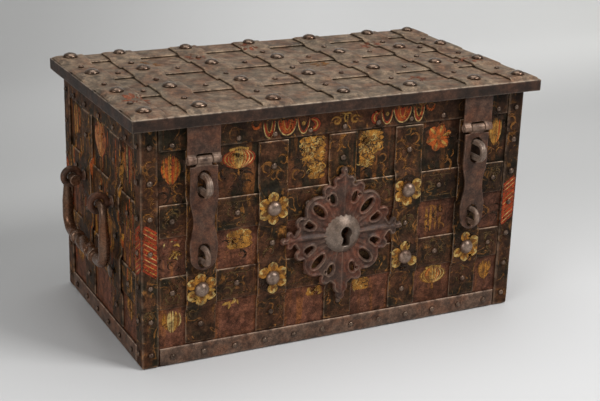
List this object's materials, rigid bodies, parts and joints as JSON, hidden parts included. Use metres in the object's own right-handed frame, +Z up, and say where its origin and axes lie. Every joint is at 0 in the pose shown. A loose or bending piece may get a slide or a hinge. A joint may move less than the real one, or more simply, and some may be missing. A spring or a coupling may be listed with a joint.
{
  "type": "donation box",
  "caption": "Strap-bound painted iron strongbox for offerings, with an overhanging riveted lid, padlock hasps, side bail handles and a multi-bolt lid lock.",
  "frame": {"origin": "middle of the flat underside of the floor plate", "axes": "+X to the right seen from the front, +Y to the back where the hinges are, +Z up"},
  "size_m": [0.736, 0.4199, 0.406],
  "materials": {
    "painted_sheet": "aged oil paint with flower sprays, worn to rust",
    "painted_strap": "dark aged paint, worn bright along edges",
    "rivet_iron": "worn forged iron",
    "lid_iron": "hammered grey-brown iron",
    "forged_iron": "forged brown iron",
    "lock_iron": "filed iron with light oil patina"
  },
  "bodies": {
    "box": {"back_cross_straps": "painted_strap", "back_rivets": "rivet_iron", "back_upright_straps": "painted_strap", "back_wall": "painted_sheet", "base_bands": "painted_strap", "catch_frame": "lock_iron", "corner_angles": "painted_strap", "escutcheon": "forged_iron", "floor_plate": "lock_iron", "front_lower_strap": "painted_strap", "front_rivets": "rivet_iron", "front_upper_strap": "painted_strap", "front_upright_straps": "painted_strap", "front_wall": "painted_sheet", "hinge_pins": "forged_iron", "hinge_wall_leaves": "forged_iron", "keyhole_boss": "forged_iron", "left_cross_straps": "painted_strap", "left_eye_bolts": "forged_iron", "left_rivets": "rivet_iron", "left_upright_straps": "painted_strap", "left_wall": "painted_sheet", "lower_staples": "forged_iron", "right_cross_straps": "painted_strap", "right_eye_bolts": "forged_iron", "right_rivets": "rivet_iron", "right_upright_straps": "painted_strap", "right_wall": "painted_sheet", "rosette_rivets": "rivet_iron", "top_bands": "painted_strap", "upper_staples": "forged_iron"},
    "lid": {"lid_plate": "lid_iron", "lid_front_rim": "lid_iron", "lid_left_rim": "lid_iron", "lid_right_rim": "lid_iron", "lid_cross_straps": "lid_iron", "lid_depth_straps": "lid_iron", "lid_end_straps": "lid_iron", "lid_dome_rivets": "lid_iron", "lid_rivets": "lid_iron", "hinge_lid_leaves": "forged_iron", "hasp_hangers": "forged_iron", "hasp_pins": "forged_iron", "lock_plate": "lock_iron", "lock_guides": "lock_iron", "lock_studs": "lock_iron"},
    "main_slide": {"lock_main_slide": "lock_iron"},
    "crank_left": {"crank_left": "lock_iron"},
    "crank_right": {"crank_right": "lock_iron"},
    "front_bolt_left": {"front_bolt_left": "lock_iron"},
    "front_bolt_right": {"front_bolt_right": "lock_iron"},
    "reversing_lever_back": {"reversing_lever_back": "lock_iron"},
    "reversing_lever_front": {"reversing_lever_front": "lock_iron"},
    "end_bolt_back": {"end_bolt_back": "lock_iron"},
    "end_bolt_front": {"end_bolt_front": "lock_iron"},
    "hasp_left": {"hasp_left": "forged_iron"},
    "hasp_right": {"hasp_right": "forged_iron"},
    "bail_left": {"bail_left": "forged_iron"},
    "bail_right": {"bail_right": "forged_iron"}
  },
  "joints": [
    {"name": "lid_hinge", "type": "hinge", "parent": "box", "child": "lid", "pos_m": [0, 0.192, 0.3775], "axis": [-1, 0, 0], "range_deg": [0, 100]},
    {"name": "hasp_left_hinge", "type": "hinge", "parent": "lid", "child": "hasp_left", "pos_m": [-0.232, -0.1935, 0.322], "axis": [-1, 0, 0], "range_deg": [0, 150]},
    {"name": "hasp_right_hinge", "type": "hinge", "parent": "lid", "child": "hasp_right", "pos_m": [0.232, -0.1935, 0.322], "axis": [-1, 0, 0], "range_deg": [0, 150]},
    {"name": "bail_left_swing", "type": "hinge", "parent": "box", "child": "bail_left", "pos_m": [-0.35, 0, 0.23], "axis": [0, 1, 0], "range_deg": [0, 170]},
    {"name": "bail_right_swing", "type": "hinge", "parent": "box", "child": "bail_right", "pos_m": [0.35, 0, 0.23], "axis": [0, -1, 0], "range_deg": [0, 170]},
    {"name": "lock_slide", "type": "slide", "parent": "lid", "child": "main_slide", "axis": [1, 0, 0], "range_m": [0, 0.014]},
    {"name": "crank_left_turn", "type": "hinge", "parent": "lid", "child": "crank_left", "pos_m": [-0.134, -0.034, 0.37], "axis": [0, 0, -1], "range_deg": [0, 23.4]},
    {"name": "front_bolt_left_slide", "type": "slide", "parent": "lid", "child": "front_bolt_left", "axis": [0, -1, 0], "range_m": [0, 0.0141]},
    {"name": "crank_right_turn", "type": "hinge", "parent": "lid", "child": "crank_right", "pos_m": [0.066, -0.034, 0.37], "axis": [0, 0, -1], "range_deg": [0, 23.4]},
    {"name": "front_bolt_right_slide", "type": "slide", "parent": "lid", "child": "front_bolt_right", "axis": [0, -1, 0], "range_m": [0, 0.0141]},
    {"name": "reversing_lever_back_turn", "type": "hinge", "parent": "lid", "child": "reversing_lever_back", "pos_m": [-0.19, 0.03, 0.37], "axis": [0, 0, 1], "range_deg": [0, 26.4]},
    {"name": "end_bolt_back_slide", "type": "slide", "parent": "lid", "child": "end_bolt_back", "axis": [-1, 0, 0], "range_m": [0, 0.0141]},
    {"name": "reversing_lever_front_turn", "type": "hinge", "parent": "lid", "child": "reversing_lever_front", "pos_m": [-0.22, -0.03, 0.37], "axis": [0, 0, -1], "range_deg": [0, 26.4]},
    {"name": "end_bolt_front_slide", "type": "slide", "parent": "lid", "child": "end_bolt_front", "axis": [-1, 0, 0], "range_m": [0, 0.0141]}
  ],
  "couplings": [
    {"joint": "crank_left_turn", "follows": "lock_slide", "rad_per_m": 29.006},
    {"joint": "front_bolt_left_slide", "follows": "lock_slide", "ratio": 1},
    {"joint": "crank_right_turn", "follows": "lock_slide", "rad_per_m": 29.006},
    {"joint": "front_bolt_right_slide", "follows": "lock_slide", "ratio": 1},
    {"joint": "reversing_lever_back_turn", "follows": "lock_slide", "rad_per_m": 32.747},
    {"joint": "end_bolt_back_slide", "follows": "lock_slide", "ratio": 1},
    {"joint": "reversing_lever_front_turn", "follows": "lock_slide", "rad_per_m": 32.747},
    {"joint": "end_bolt_front_slide", "follows": "lock_slide", "ratio": 1}
  ]
}
